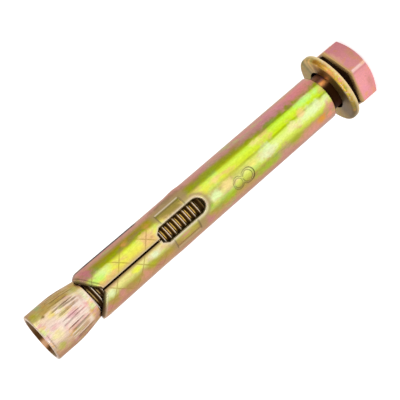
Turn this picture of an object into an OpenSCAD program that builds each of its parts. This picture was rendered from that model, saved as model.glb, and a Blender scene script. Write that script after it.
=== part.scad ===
// Sleeve anchor with a hex bolt: a rolled and slotted sleeve, a loose washer and a fluted cone nut.
// The bolt stands on its hex head. Z runs up along the bolt to the cone nut, and -Y faces the window.

/* [Bolt] */
// Width of the hex head across two flats
head_af = 12.8; // [12.7:0.1:13]
// Height of the hex head
head_h = 5.2; // [5.1:0.1:5.5]
// Radius of the round top face inside the chamfer
head_top_r = 5.9; // [5.6:0.1:6]
// Turn of the hex head, from one corner on +X
head_turn_deg = 33.5; // [0:0.5:60]
// Slope of the chamfer on the head's top corners
head_chamfer_deg = 30; // [25:1:32]
// Bevel along the lower edge of each flat
head_bevel = 0.5; // [0.3:0.1:0.6]
// Length of the bolt below its head
bolt_len = 75; // [73:1:76]
// Radius of the plain shank
shank_r = 3.95; // [3.9:0.01:4]
// Length of the thread, from the bolt's tip
thread_len = 45; // [40:1:50]
// Radius at half the thread's height, where the flanks carry
thread_r = 3.594; // [3.55:0.001:3.63]
// Chamfer on the bolt's tip
tip_chamfer = 0.8; // [0.6:0.1:1]
// Fillet where the shank meets the head
head_fillet = 0.3; // [0.2:0.05:0.35]

/* [Washer] */
// Outside radius of the washer
washer_r = 7.85; // [7.8:0.05:8]
// Radius of the washer's hole
washer_hole_r = 4.5; // [4.4:0.05:4.6]
// Thickness of the washer
washer_t = 1.6; // [1.5:0.1:1.8]
// Rolled edge that the punch leaves on one face
washer_edge = 0.25; // [0.15:0.05:0.3]
// Height of the washer's middle above the bolt's head
washer_up = 1.75; // [1.75:0.05:2]
// Lean of the loose washer
washer_lean_deg = 7.3; // [0:0.1:7.3]
// Direction of the washer's raised side, from -Y toward +X
washer_lean_to = 14; // [0:1:90]
// Offset of the loose washer, toward its raised side
washer_side = 0.3; // [0:0.05:0.3]

/* [Sleeve] */
// Outside radius of the sleeve at its head end
sleeve_r = 4.95; // [4.9:0.01:5]
// Thickness of the rolled sheet
sheet_t = 0.8; // [0.7:0.01:0.8]
// Length of the sleeve
sleeve_len = 62.2; // [60:0.2:63]
// Gap between the bolt's head and the sleeve
sleeve_up = 5; // [4.8:0.1:5.2]
// Growth in radius from the window to the petals' tips
petal_flare = 0.1; // [0.06:0.01:0.12]
// Width of each slit
slit_w = 0.3; // [0.2:0.05:0.4]
// Turn of the slits from the window's middle
slit_turn_deg = 2; // [0:0.5:3]
// Length of the side slits from the petals' tips
slit_len = 16.4; // [15:0.1:16.6]
// Depth of the front and rear notches
notch_depth = 2.75; // [2.2:0.05:3]
// Width of their blunt ends
notch_end_w = 1.75; // [1.5:0.05:2]
// Reach of a notch to the side, at the tips
notch_reach = 4.25; // [4:0.05:4.4]
// Depth of the notch at each side slit
side_notch_depth = 1.5; // [1:0.05:2]
// Short reach of a side notch, toward the front, at the tips
side_notch_reach = 1.2; // [0.8:0.05:1.6]
// Width of the gap at the rolled sheet's seam
seam_w = 0.12; // [0.08:0.01:0.2]
// Place of the seam around the sleeve, from the rear window
seam_deg = 47; // [40:1:60]
// Rounding bevel on the sleeve's head end
sleeve_edge = 0.15; // [0.1:0.05:0.2]

/* [Window] */
// Distance from the petals' tips to the window
window_down = 17.1; // [17:0.1:18]
// Length of the window
window_len = 11.2; // [10:0.1:12]
// Width of the window
window_w = 3.65; // [3.4:0.05:3.8]
// Width of the window's blunt end, where the slit comes in
window_end_w = 1.9; // [1.6:0.1:2.2]
// Length of the slanted corners at the blunt end
window_corner = 1.2; // [1:0.1:1.5]
// Length of each pressed pad beside a window
pad_len = 6; // [5.5:0.1:6.5]
// Width of each pressed pad
pad_w = 2.2; // [2:0.1:2.4]
// Depth of each pressed pad
pad_depth = 0.2; // [0.15:0.01:0.25]
// Place of each pad around the sleeve, from the window's middle
pad_deg = 36; // [34:1:40]
// Distance from the window's blunt end to a pad
pad_down = 2; // [1.8:0.1:2.4]

/* [Cone nut] */
// Radius of the nut's cylinder
nut_r = 5.05; // [5:0.01:5.1]
// Length of the nut
nut_len = 11.2; // [11.1:0.1:12]
// Length of the nut's cylinder
nut_cylinder = 4.2; // [3.8:0.1:4.4]
// Length of the round blend from the cylinder to the cone
blend_len = 4; // [3.6:0.1:4.2]
// Slope of the cone at its small end
cone_deg = 10; // [10:0.5:11]
// Bevel on the cone's small end
cone_edge = 0.2; // [0.15:0.05:0.25]
// Rounding on the nut's outer end
nut_round = 0.4; // [0.3:0.05:0.5]
// Depth that the cone stands in the petals
cone_in = 0.3; // [0.2:0.05:0.35]
// Radial clearance between the bolt's thread and the nut
thread_clearance = 0.05; // [0.02:0.01:0.1]
// Radius of the nut's wide mouth
mouth_r = 4.33; // [4.2:0.01:4.4]
// Depth of the straight part of the mouth
mouth_depth = 1.3; // [1:0.1:1.6]
// Number of flutes
flutes = 24; // [20:1:26]
// Radius of the tool that presses each flute
flute_tool_r = 0.5; // [0.4:0.05:0.6]
// Distance from the nut's outer end to the flutes
flute_from = 3.2; // [3:0.1:3.6]
// Distance from the nut's outer end to the far ends of the flutes
flute_to = 9.9; // [9.5:0.1:10]

/* [Hidden] */
yellow_zinc = [0.80, 0.66, 0.42];
$fn = 96;
slack = 1;
half = 0.5;
right_angle = 90;
halves = [0, 180];
hex_step = 60;
blend_steps = 10;
round_steps = 5;

head_corner_r = head_af / 2 / cos(hex_step / 2);
head_chamfer_h = (head_corner_r + slack - head_top_r) * tan(head_chamfer_deg);
bolt_top = head_h + bolt_len;
washer_z = head_h + washer_up;
sleeve_z = head_h + sleeve_up;
sleeve_top = sleeve_z + sleeve_len;
sleeve_bore_r = sleeve_r - sheet_t;
petal_r = sleeve_r + petal_flare;
window_top = sleeve_top - window_down;
window_low = window_top - window_len;
pad_mid = window_top - pad_down - pad_len / 2;
nut_bore_r = thread_r + thread_clearance;
nut_z = sleeve_top - cone_in;
nut_top = nut_z + nut_len;
blend_r = blend_len / sin(cone_deg);
blend_drop = blend_r * (1 - cos(cone_deg));
cone_len = nut_len - nut_cylinder - blend_len - cone_edge;
cone_end_r = nut_r - blend_drop - cone_len * tan(cone_deg);
mouth_end = mouth_depth + mouth_r - nut_bore_r;
flute_low_r = nut_surface_r(flute_to);
flute_run = flute_to - flute_from;
flute_slope = atan((nut_r - flute_low_r) / flute_run);

// Radius of the nut's outside at a distance from its outer end
function nut_surface_r(d) =
    d < nut_cylinder ? nut_r
    : d < nut_cylinder + blend_len
        ? nut_r - blend_r + sqrt(blend_r * blend_r - (d - nut_cylinder) * (d - nut_cylinder))
    : nut_r - blend_drop - (d - nut_cylinder - blend_len) * tan(cone_deg);

// Points of a quarter round, from the end face to the side, for a solid that ends at y
function quarter_round(r, y, radius) = [
    for (i = [0 : round_steps])
        let (a = right_angle * i / round_steps)
        [r - radius + radius * sin(a), y - radius + radius * cos(a)]
];

// A bar as wide as two flats are apart, with both bevels
module flat_bar() {
    rotate([right_angle, 0, 0])
        linear_extrude(2 * head_af, center = true)
            polygon([
                [-head_af / 2, 0],
                [head_af / 2, 0],
                [head_af / 2, head_h - head_bevel],
                [head_af / 2 - head_bevel, head_h],
                [-head_af / 2 + head_bevel, head_h],
                [-head_af / 2, head_h - head_bevel]
            ]);
}

module head_chamfer_body() {
    rotate_extrude()
        polygon([
            [0, 0],
            [head_top_r, 0],
            [head_corner_r + slack, head_chamfer_h],
            [head_corner_r + slack, head_h],
            [0, head_h]
        ]);
}

// Three crossed bars leave a hexagon
module head() {
    rotate([0, 0, head_turn_deg])
        intersection() {
            rotate([0, 0, hex_step / 2])
                flat_bar();
            rotate([0, 0, hex_step / 2 + hex_step])
                flat_bar();
            rotate([0, 0, hex_step / 2 - hex_step])
                flat_bar();
            head_chamfer_body();
        }
}

module shank() {
    rotate_extrude()
        polygon([
            [0, head_h - slack],
            [shank_r + head_fillet, head_h - slack],
            [shank_r + head_fillet, head_h],
            [shank_r, head_h + head_fillet],
            [shank_r, bolt_top - thread_len],
            [thread_r, bolt_top - thread_len + shank_r - thread_r],
            [thread_r, bolt_top - tip_chamfer],
            [thread_r - tip_chamfer, bolt_top],
            [0, bolt_top]
        ]);
}

module hex_bolt() {
    color(yellow_zinc)
        union() {
            head();
            shank();
        }
}

module washer() {
    color(yellow_zinc)
        rotate([0, 0, washer_lean_to])
            translate([0, -washer_side, washer_z])
                rotate([-washer_lean_deg, 0, 0])
                    rotate_extrude()
                        polygon([
                            [washer_hole_r, -washer_t / 2],
                            [washer_r, -washer_t / 2],
                            [washer_r, washer_t / 2 - washer_edge],
                            [washer_r - washer_edge, washer_t / 2],
                            [washer_hole_r, washer_t / 2]
                        ]);
}

// The rolled tube, a little wider toward the petals' tips
module tube() {
    rotate_extrude()
        polygon([
            [sleeve_bore_r, sleeve_z],
            [sleeve_r - sleeve_edge, sleeve_z],
            [sleeve_r, sleeve_z + sleeve_edge],
            [sleeve_r, window_top],
            [petal_r, sleeve_top],
            [petal_r - sheet_t, sleeve_top],
            [sleeve_bore_r, window_top]
        ]);
}

// A notch with a blunt end, as one cutter that faces -Y: it reaches as far as left toward -X and right toward +X
module notch(end_w, depth, left, right) {
    rotate([right_angle, 0, 0])
        linear_extrude(petal_r + slack)
            polygon([
                [-end_w / 2, sleeve_top - depth],
                [end_w / 2, sleeve_top - depth],
                [right, sleeve_top],
                [right, sleeve_top + slack],
                [-left, sleeve_top + slack],
                [-left, sleeve_top]
            ]);
}

// A radial slot that faces -Y
module slot(width, low, high) {
    translate([-width / 2, -petal_r - slack, low])
        cube([width, petal_r + slack, high - low]);
}

module petal_cuts() {
    rotate([0, 0, -slit_turn_deg]) {
        rotate([0, 0, right_angle])
            notch(slit_w, side_notch_depth, side_notch_reach, notch_reach);
        rotate([0, 0, -right_angle])
            notch(slit_w, side_notch_depth, notch_reach, side_notch_reach);
        for (a = halves) {
            rotate([0, 0, a])
                notch(notch_end_w, notch_depth, notch_reach, notch_reach);
            rotate([0, 0, a])
                slot(slit_w, window_top - window_corner, sleeve_top);
            rotate([0, 0, a + right_angle])
                slot(slit_w, sleeve_top - slit_len, sleeve_top);
        }
    }
}

// The window's outline: blunt toward the nut, round toward the head
module window_outline() {
    round_z = window_low + window_w / 2;
    translate([0, round_z])
        circle(r = window_w / 2);
    polygon([
        [-window_w / 2, round_z],
        [window_w / 2, round_z],
        [window_w / 2, window_top - window_corner],
        [window_end_w / 2, window_top],
        [-window_end_w / 2, window_top],
        [-window_w / 2, window_top - window_corner]
    ]);
}

module windows() {
    for (a = halves)
        rotate([0, 0, a])
            rotate([right_angle, 0, 0])
                linear_extrude(petal_r + slack)
                    window_outline();
}

// Shallow pads pressed into the sheet on both sides of each window
module pads() {
    for (a = halves, side = [-1, 1])
        rotate([0, 0, a + side * pad_deg])
            translate([-pad_w / 2, -petal_r - slack, pad_mid - pad_len / 2])
                cube([pad_w, petal_r + slack - sleeve_r + pad_depth, pad_len]);
}

module sleeve() {
    color(yellow_zinc)
        difference() {
            tube();
            petal_cuts();
            windows();
            pads();
            rotate([0, 0, 180 + seam_deg])
                slot(seam_w, sleeve_z - slack, sleeve_top + slack);
        }
}

// The nut turned from bar, with its wide mouth up
module nut_blank() {
    rotate_extrude()
        polygon(concat(
            [[nut_bore_r, nut_z], [cone_end_r - cone_edge, nut_z], [cone_end_r, nut_z + cone_edge]],
            [
                for (i = [blend_steps : -1 : 0])
                    let (d = nut_cylinder + blend_len * i / blend_steps)
                    [nut_surface_r(d), nut_top - d]
            ],
            [for (i = [round_steps : -1 : 0]) quarter_round(nut_r, nut_top, nut_round)[i]],
            [[mouth_r, nut_top], [mouth_r, nut_top - mouth_depth], [nut_bore_r, nut_top - mouth_end]]
        ));
}

// One flute: the tool's edge runs straight from the cylinder to the cone
module flute() {
    translate([0, -nut_r - flute_tool_r, nut_top - flute_from])
        rotate([flute_slope, 0, 0])
            translate([0, 0, -flute_run - slack])
                cylinder(r = flute_tool_r, h = flute_run + 2 * slack);
}

module cone_nut() {
    color(yellow_zinc)
        difference() {
            nut_blank();
            for (i = [0 : flutes - 1])
                rotate([0, 0, 360 * (i + half) / flutes])
                    flute();
        }
}

hex_bolt();
washer();
sleeve();
cone_nut();
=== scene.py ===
import bpy
import numpy as np
from mathutils import Matrix, Vector


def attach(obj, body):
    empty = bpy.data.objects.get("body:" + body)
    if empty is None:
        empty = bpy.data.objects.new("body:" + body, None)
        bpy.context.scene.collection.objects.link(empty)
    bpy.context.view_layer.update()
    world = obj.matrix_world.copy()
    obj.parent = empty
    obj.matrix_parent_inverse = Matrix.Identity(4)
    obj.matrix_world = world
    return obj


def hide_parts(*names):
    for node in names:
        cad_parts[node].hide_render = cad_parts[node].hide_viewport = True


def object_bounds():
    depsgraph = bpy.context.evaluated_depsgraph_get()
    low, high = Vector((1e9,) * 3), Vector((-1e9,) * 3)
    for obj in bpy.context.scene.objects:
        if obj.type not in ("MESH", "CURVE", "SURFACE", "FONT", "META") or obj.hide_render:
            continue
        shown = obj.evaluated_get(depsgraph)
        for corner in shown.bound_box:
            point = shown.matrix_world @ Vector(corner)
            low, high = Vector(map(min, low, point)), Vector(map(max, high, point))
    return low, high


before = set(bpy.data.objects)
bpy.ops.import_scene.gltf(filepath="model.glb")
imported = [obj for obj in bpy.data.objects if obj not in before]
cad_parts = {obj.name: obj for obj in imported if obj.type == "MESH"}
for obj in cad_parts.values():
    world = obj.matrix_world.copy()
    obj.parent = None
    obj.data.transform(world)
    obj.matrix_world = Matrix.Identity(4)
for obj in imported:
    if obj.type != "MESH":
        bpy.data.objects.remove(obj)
CAD_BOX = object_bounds()

# Sizes, in millimetres: the anchor stands on its hex head, the cone nut up and the window toward -Y
MM = 0.001                  # one millimetre in the scene's metres
SAME_POINT = 1e-6           # points that agree to this are one point

HEAD_APOTHEM = 6.4          # half of the width across flats
HEAD_HEIGHT = 5.2
HEAD_TOP_R = 5.9            # flat circle that the chamfer leaves
HEAD_CHAMFER = np.radians(30)
HEAD_TURN = 33.5            # direction of one corner, in degrees
HEAD_CORNER = 0.25          # rounding of the six upright edges
HEAD_BEVEL = 0.5            # bevel round the bearing side
HEAD_FILLET = 0.3           # fillet between the bearing side and the shank
FILLET_MIDDLE = 0.1         # how far the fillet's middle stands off both

SHANK_R = 3.95
BOLT_TOP = 80.2
THREAD_LOW = 35.2
THREAD_RUN_OUT = 1.8        # the thread's depth fades in over this length
PITCH = 1.25
CREST_Z = 54.606            # one crest of the thread, at CREST_DEG
CREST_DEG = -89.3
TIP_CHAMFER = 0.8

WASHER_R = 7.85
WASHER_HOLE_R = 4.5
WASHER_T = 1.6
WASHER_Z = 6.95
WASHER_LEAN = np.radians(7.3)
WASHER_LEAN_TO = np.radians(14)   # its raised side, from -Y toward +X
WASHER_SIDE = 0.3

SLEEVE_R = 4.95
SHEET = 0.8
SLEEVE_LOW = 10.2
SLEEVE_TOP = 72.4
DEG_MM = SLEEVE_R * np.radians(1)   # arc of one degree round the sleeve
FLARE = 0.1                 # the petals' tips stand this much wider
FLARE_FROM = 56.0
SEAM_DEG = 137.0
SEAM_W = 0.12
SLIT_W = 0.24
SLIT_DEG = -2.0             # the slits' turn from the window's middle
WINDOW_LOW = 44.1
WINDOW_TOP = 55.3
WINDOW_W = 3.65
WINDOW_END_W = 1.9
WINDOW_CORNER = 1.2
NOTCH_Z = 69.65
NOTCH_END_W = 1.75
NOTCH_REACH = 4.25
SIDE_NOTCH_Z = 70.9
SIDE_NOTCH_REACH = 1.2      # the side notches' short reach, toward the front
PAD_DEG = 36.0
PAD_Z = 50.3
PAD_LEN = 6.0
PAD_W = 2.2
PAD_DEPTH = 0.2
EIGHT_DEG = -21.8           # the pressed numeral, from the window's middle
EIGHT_Z = 35.2
EIGHT_HALF = 1.2            # from its waist to the middle of either ring
EIGHT_LINE = 0.17           # half of its stroke's width
EIGHT_DEPTH = 0.12
SLIT_LIFT = 0.17            # how far the edge of the side slit on the right is lifted
SCRIBE = 6.68               # spacing of the scribed lines along the sleeve

NUT_LOW = 72.1
NUT_TOP = 83.3
NUT_R = 5.05
NUT_CYLINDER = 4.2
BLEND = 4.0
CONE = np.radians(10)
MOUTH_R = 4.33
MOUTH_DEPTH = 1.3
FLUTES = 34
FINE_LINES = 84             # shallow press marks between the flutes
THREAD_GAP = 0.06           # play between the nut's thread and the bolt's
LEAD_GAP = 0.01             # the lead-in at the small end is this much wider than the thread

SEEN_FROM = -83.6           # direction of the side that faces the camera, in degrees

# Shapes


def step_up(x, width):
    """Smooth step from 0 to 1 over a width: 3t^2 - 2t^3, with t = x / width held between 0 and 1."""
    t = np.clip(x / width, 0.0, 1.0)
    return t * t * (3 - 2 * t)


def bell(x, half):
    """Bell curve: exp(-(x / half)^2)."""
    return np.exp(-(x / half) ** 2)


def most(*layers):
    """The greatest of the layers, point by point."""
    return np.max(np.broadcast_arrays(*layers), axis=0)


def away(angles, direction):
    """How far angles, in radians, lie from a direction in degrees: from -180 to 180 degrees."""
    return (np.degrees(angles) - direction + 180) % 360 - 180


def merged(points, triangles):
    """Points that lie on one another become one, and triangles that this leaves without area go."""
    places = np.round(points / SAME_POINT).astype(np.int64)
    _, first, back = np.unique(places, axis=0, return_index=True, return_inverse=True)
    faces = back.reshape(-1)[triangles]
    whole = (faces != np.roll(faces, 1, axis=1)).all(1)
    return points[first], faces[whole], first


def turned(radii, heights, angles, pale, dark, gold):
    """Surface round the Z axis: row k, column j lies at radius radii[k, j] and height heights[k, j] in the
    direction angles[j]. Neighbouring rows and columns are joined by two triangles each. pale, dark and gold
    say from 0 to 1 how far the colour turns pale, dark or gold there, for the film and for painted highlight
    and painted shade."""
    x, y = radii * np.cos(angles), radii * np.sin(angles)
    points = np.stack([x, y, heights + 0 * radii], -1).reshape(-1, 3)
    film = np.stack([np.broadcast_to(v, radii.shape) for v in (pale, dark, gold)], -1).reshape(-1, 3)
    i = np.arange(radii.size).reshape(radii.shape)
    a, b, c, d = (q.reshape(-1) for q in (i[:-1, :-1], i[:-1, 1:], i[1:, 1:], i[1:, :-1]))
    return points, np.concatenate([np.stack([a, b, c], -1), np.stack([a, c, d], -1)]), film


def rounded(corners, steps=4):
    """Rows of a profile whose corners are cut back and rounded.
    corners is a list of (radius, height, cut), where radius and height may vary with direction. A corner with
    a cut becomes the parabola from cut before it to cut after it, with the corner itself as control point."""
    size = np.broadcast_shapes(*(np.shape(v) for c in corners for v in c[:2]))
    p = np.array([[np.broadcast_to(r, size), np.broadcast_to(z, size)] for r, z, _ in corners], dtype=float)
    rows = [p[0]]
    for k in range(1, len(corners) - 1):
        cut = corners[k][2]
        if not cut:
            rows.append(p[k])
            continue
        toward = (p[k - 1] - p[k], p[k + 1] - p[k])
        before, after = (v / np.maximum(np.linalg.norm(v, axis=0), 1e-9) for v in toward)
        a, b = p[k] + cut * before, p[k] + cut * after
        rows += [(1 - t) ** 2 * a + 2 * t * (1 - t) * p[k] + t * t * b for t in np.linspace(0, 1, steps + 1)]
    rows.append(p[-1])
    rows = np.array(rows)
    return rows[:, 0], rows[:, 1]


# One turn of the thread from crest to crest: share of the pitch, and depth below the crest
THREAD_SHARE = np.array([0.0, 0.04, 0.075, 0.15, 0.25, 0.34, 0.40, 0.5, 0.60, 0.66, 0.75, 0.85, 0.925, 0.96])
THREAD_DEPTH = np.array([0.0, 0.0, 0.06, 0.24, 0.47, 0.67, 0.73, 0.74, 0.73, 0.67, 0.47, 0.24, 0.06, 0.0])


def helix_rows(angles, low, high):
    """Rows that follow the thread's helix: height = crest height + pitch x (turns round + whole turns +
    share), held between low and high. Returns the heights, and each row's depth below the crest and share."""
    turns = np.arange(np.floor((low - CREST_Z) / PITCH) - 2, np.ceil((high - CREST_Z) / PITCH) + 2)
    run = (turns[:, None] + THREAD_SHARE).reshape(-1)
    z = CREST_Z + PITCH * (run[:, None] + (angles - np.radians(CREST_DEG)) / (2 * np.pi))
    used = (z.max(1) > low - PITCH) & (z.min(1) < high + PITCH)
    depth, share = (np.tile(v, len(turns))[used][:, None] + 0 * z[used] for v in (THREAD_DEPTH, THREAD_SHARE))
    return np.clip(z[used], low, high), depth, share


def hex_radius(angles):
    """Outline of the hexagon with rounded corners, as radius by direction: the flat's line, and near a corner
    the circle of HEAD_CORNER that touches both flats."""
    off = np.radians(np.abs((np.degrees(angles) - HEAD_TURN + 30) % 60 - 30))   # from the nearest corner
    flat = HEAD_APOTHEM / np.cos(np.radians(30) - off)
    centre = (HEAD_APOTHEM - HEAD_CORNER) / np.cos(np.radians(30))
    root = HEAD_CORNER ** 2 - (centre * np.sin(off)) ** 2
    arc = centre * np.cos(off) + np.sqrt(np.maximum(root, 0))
    touch = np.radians(30) - np.arctan((HEAD_APOTHEM - HEAD_CORNER) * np.tan(np.radians(30)) / HEAD_APOTHEM)
    return np.where(off < touch, arc, flat)


def hex_bolt():
    """Hex head, shank and thread as rows round the axis, from the middle of the head's top face to the middle
    of the tip. In the head the radius follows the hexagon, and in the thread the rows follow the helix, with
    the depth fading in over the run-out and a 45 degree chamfer at the tip."""
    part = np.array([0, 0.35, 0.7, 0.98, 2.5, 5, 8, 11, 14.5, 18, 22, 26])      # closer near the corners
    sextant = np.concatenate([part, [30], 60 - part[:0:-1]])
    around = (HEAD_TURN + np.arange(6)[:, None] * 60 + sextant).reshape(-1)
    angles = np.radians(np.append(around, HEAD_TURN + 360))
    side = hex_radius(angles)
    chamfer_z = (side - HEAD_TOP_R) * np.tan(HEAD_CHAMFER)
    bevelled = side * (HEAD_APOTHEM - HEAD_BEVEL) / HEAD_APOTHEM
    head_r, head_z = rounded([
        (0 * side, 0, 0), (HEAD_TOP_R, 0, 0.2), (side, chamfer_z, 0.16),
        (side, HEAD_HEIGHT - HEAD_BEVEL - 0.5, 0), (side, HEAD_HEIGHT - HEAD_BEVEL, 0.1),
        (bevelled, HEAD_HEIGHT, 0.1), (SHANK_R + HEAD_FILLET, HEAD_HEIGHT, 0),
        (SHANK_R + FILLET_MIDDLE, HEAD_HEIGHT + FILLET_MIDDLE, 0), (SHANK_R, HEAD_HEIGHT + HEAD_FILLET, 0),
        (SHANK_R, THREAD_LOW, 0)])
    thread_z, depth, share = helix_rows(angles, THREAD_LOW, BOLT_TOP)
    thread_r = SHANK_R - depth * step_up(thread_z - THREAD_LOW, THREAD_RUN_OUT)
    thread_r = np.minimum(thread_r, SHANK_R - np.maximum(thread_z - (BOLT_TOP - TIP_CHAMFER), 0))
    thread_r = np.where(thread_z >= BOLT_TOP, SHANK_R - TIP_CHAMFER, thread_r)
    tip_r = 0 * thread_r[:1]
    r = np.concatenate([head_r, thread_r, tip_r])
    z = np.concatenate([head_z, thread_z, tip_r + BOLT_TOP])

    def column(thread_rows):
        return np.concatenate([0 * head_r, thread_rows, tip_r])

    # The stem is painted dark, as painted shade where the sleeve, the washer and the nut close round it, a
    # little less on the plain shank at -56 and -25 degrees. Where the thread shows, near the windows' middle
    # and from the notches up, its crests get a painted highlight and its flanks toward the head painted
    # light, through which their brassy colour shows; toward the windows' sides and low ends this painted
    # light fades.
    stem = (r < SHANK_R + 0.5) & (z > HEAD_HEIGHT)
    thread = stem & (z > THREAD_LOW)
    from_middle = np.abs((np.degrees(angles) + 180.3) % 180 - 90)   # degrees from the nearer window
    window_light = step_up(21.5 - from_middle, 5) * step_up(z - WINDOW_LOW - 1.3, 0.5)
    window_light = np.where(z > WINDOW_TOP + 5, 1.0, 0.15 + 0.85 * window_light)
    lit_flank = column(step_up(share - 0.44, 0.1) * step_up(0.97 - share, 0.06)) * window_light
    crest = column(1 - step_up(depth, 0.24)) * window_light
    # Painted shade where the sleeve closes over the thread, between the windows' tops and the notches
    sleeve_shade = thread * (1 - step_up(WINDOW_TOP + 0.6 - z, 0.5) - step_up(z - NOTCH_Z + 0.4, 0.4))
    shown = thread * (1 - sleeve_shade)
    glow = bell(away(angles, -56), 12) * stem * ~thread
    warm = bell(away(angles, -25), 14) * stem * ~thread
    dark = stem * (0.97 - 0.95 * lit_flank * shown - 0.95 * glow - 0.6 * warm) * (1 - crest * shown)
    # Painted shade: the head's bearing side under the washer is dark, and so is the part of its bevel that
    # faces away from the camera, and the tip inside the nut
    underside_shade = (z > HEAD_HEIGHT - 0.02) & (z <= HEAD_HEIGHT + 0.02) & (r < bevelled - 0.06)
    bevel = (z > HEAD_HEIGHT - 0.3) & (r > SHANK_R + 0.5)
    far_bevel_shade = step_up(np.abs(away(angles, SEEN_FROM)) - 56, 10) * bevel
    tip = z > BOLT_TOP - TIP_CHAMFER
    dark = np.where(tip, 0.8, most(dark, sleeve_shade, 0.95 * underside_shade, 0.95 * far_bevel_shade))
    pale = crest * shown * ~tip
    gold = (r > HEAD_TOP_R - 0.4) * step_up(z - (HEAD_HEIGHT - HEAD_BEVEL - 0.35), 0.3)
    return turned(r, z, angles, pale, dark, gold)


def washer():
    """A flat ring from its closed profile with rounded outer edges, tilted by WASHER_LEAN and moved aside, as
    a loose washer hangs on the bolt. A ripple of a few hundredths makes the stamped rim not quite round."""
    angles = np.radians(np.linspace(0, 360, 181))
    h = WASHER_T / 2
    middle = (WASHER_HOLE_R + WASHER_R) / 2 + 0 * angles
    rim = WASHER_R - 0.04 + (0.03 * np.sin(3 * angles) + 0.02 * np.sin(7 * angles + 1))
    r, z = rounded([
        (middle, -h, 0), (rim, -h, 0.3), (rim, h, 0.75), (WASHER_HOLE_R, h, 0.16), (WASHER_HOLE_R, -h, 0.16),
        (middle, -h, 0)], steps=5)
    # The face is darker toward the shank, as painted shade, with a painted shadow of the sleeve's end on its
    # front, lighter where it shines, as a painted sheen, and darker toward -168 degrees; the hole's wall is
    # brown with a little painted shade, the underside, which faces the head, is dark as painted shade, and
    # the lower edge has a painted highlight
    face = step_up(z - (h - 0.2), 0.18)
    shaded = np.exp(-(away(angles, -109) / 32) ** 4) * step_up(7.62 - r, 0.2)
    sheen = bell(away(angles, -54), 20)
    thick = bell(away(angles, -168), 36)
    edge_highlight = step_up(r - WASHER_R + 0.35, 0.2) * step_up(-0.35 - z, 0.2)
    wall = r < WASHER_HOLE_R + 0.01
    underside_shade = z < 0.02 - h
    dark = face * most(0.12 * step_up(7.1 - r, 1.2) + 0.2 * thick, 0.84 * shaded)
    dark = most(dark, 0.15 * wall, 0.9 * underside_shade)
    gold = most(0.8 * wall, face * (0.4 - 0.3 * sheen + 0.5 * thick))
    points, faces, film = turned(r, z, angles, 0.65 * edge_highlight, dark, gold)
    lean = np.array(Matrix.Rotation(WASHER_LEAN_TO, 3, "Z") @ Matrix.Rotation(-WASHER_LEAN, 3, "X"))
    aside = np.array([WASHER_SIDE * np.sin(WASHER_LEAN_TO), -WASHER_SIDE * np.cos(WASHER_LEAN_TO), WASHER_Z])
    return points @ lean.T + aside, faces, film


def nut_outside(d):
    """Radius of the nut at distance d from its mouth: a cylinder, then an arc, then a cone."""
    bend = BLEND / np.sin(CONE)
    arc = NUT_R - bend + np.sqrt(np.maximum(bend ** 2 - (d - NUT_CYLINDER) ** 2, 0))
    drop = bend * (1 - np.cos(CONE))
    cone = NUT_R - drop - (d - NUT_CYLINDER - BLEND) * np.tan(CONE)
    return np.where(d < NUT_CYLINDER, NUT_R, np.where(d < NUT_CYLINDER + BLEND, arc, cone))


def flute_depth(angles, d):
    """Pressed flutes of the nut and the finer marks between them: grooves with a round section, each with its
    own middle, width, depth and ends. The depth is the sum over the grooves of depth x (1 - (offset / half
    width)^2), faded at the ends, so that neighbours run into one another as pressed flutes do."""
    rng = np.random.default_rng(11)
    total = 0
    flutes, marks = (FLUTES, (0.15, 0.36), (0.05, 0.17)), (FINE_LINES, (0.11, 0.17), (0.03, 0.07))
    for count, half_widths, depths in (flutes, marks):
        middle = np.radians(360 / count) * (np.arange(count) + rng.uniform(-0.35, 0.35, count))
        half = rng.uniform(*half_widths, count)
        deep = rng.uniform(*depths, count)
        start = rng.uniform(3.0, 5.0, count)
        end = rng.uniform(8.4, 10.4, count)
        bend = rng.uniform(-0.03, 0.03, count)
        off = angles[None, :, None] - middle - bend * (d[..., None] - 6.5) / 3
        off = (off + np.pi) % (2 * np.pi) - np.pi
        across = np.maximum(1 - (off * NUT_R / half) ** 2, 0)
        along = step_up(d[..., None] - start, 1.2) * step_up(end - d[..., None], 1.5)
        total = total + (deep * across * along).sum(-1)
    return total


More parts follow.
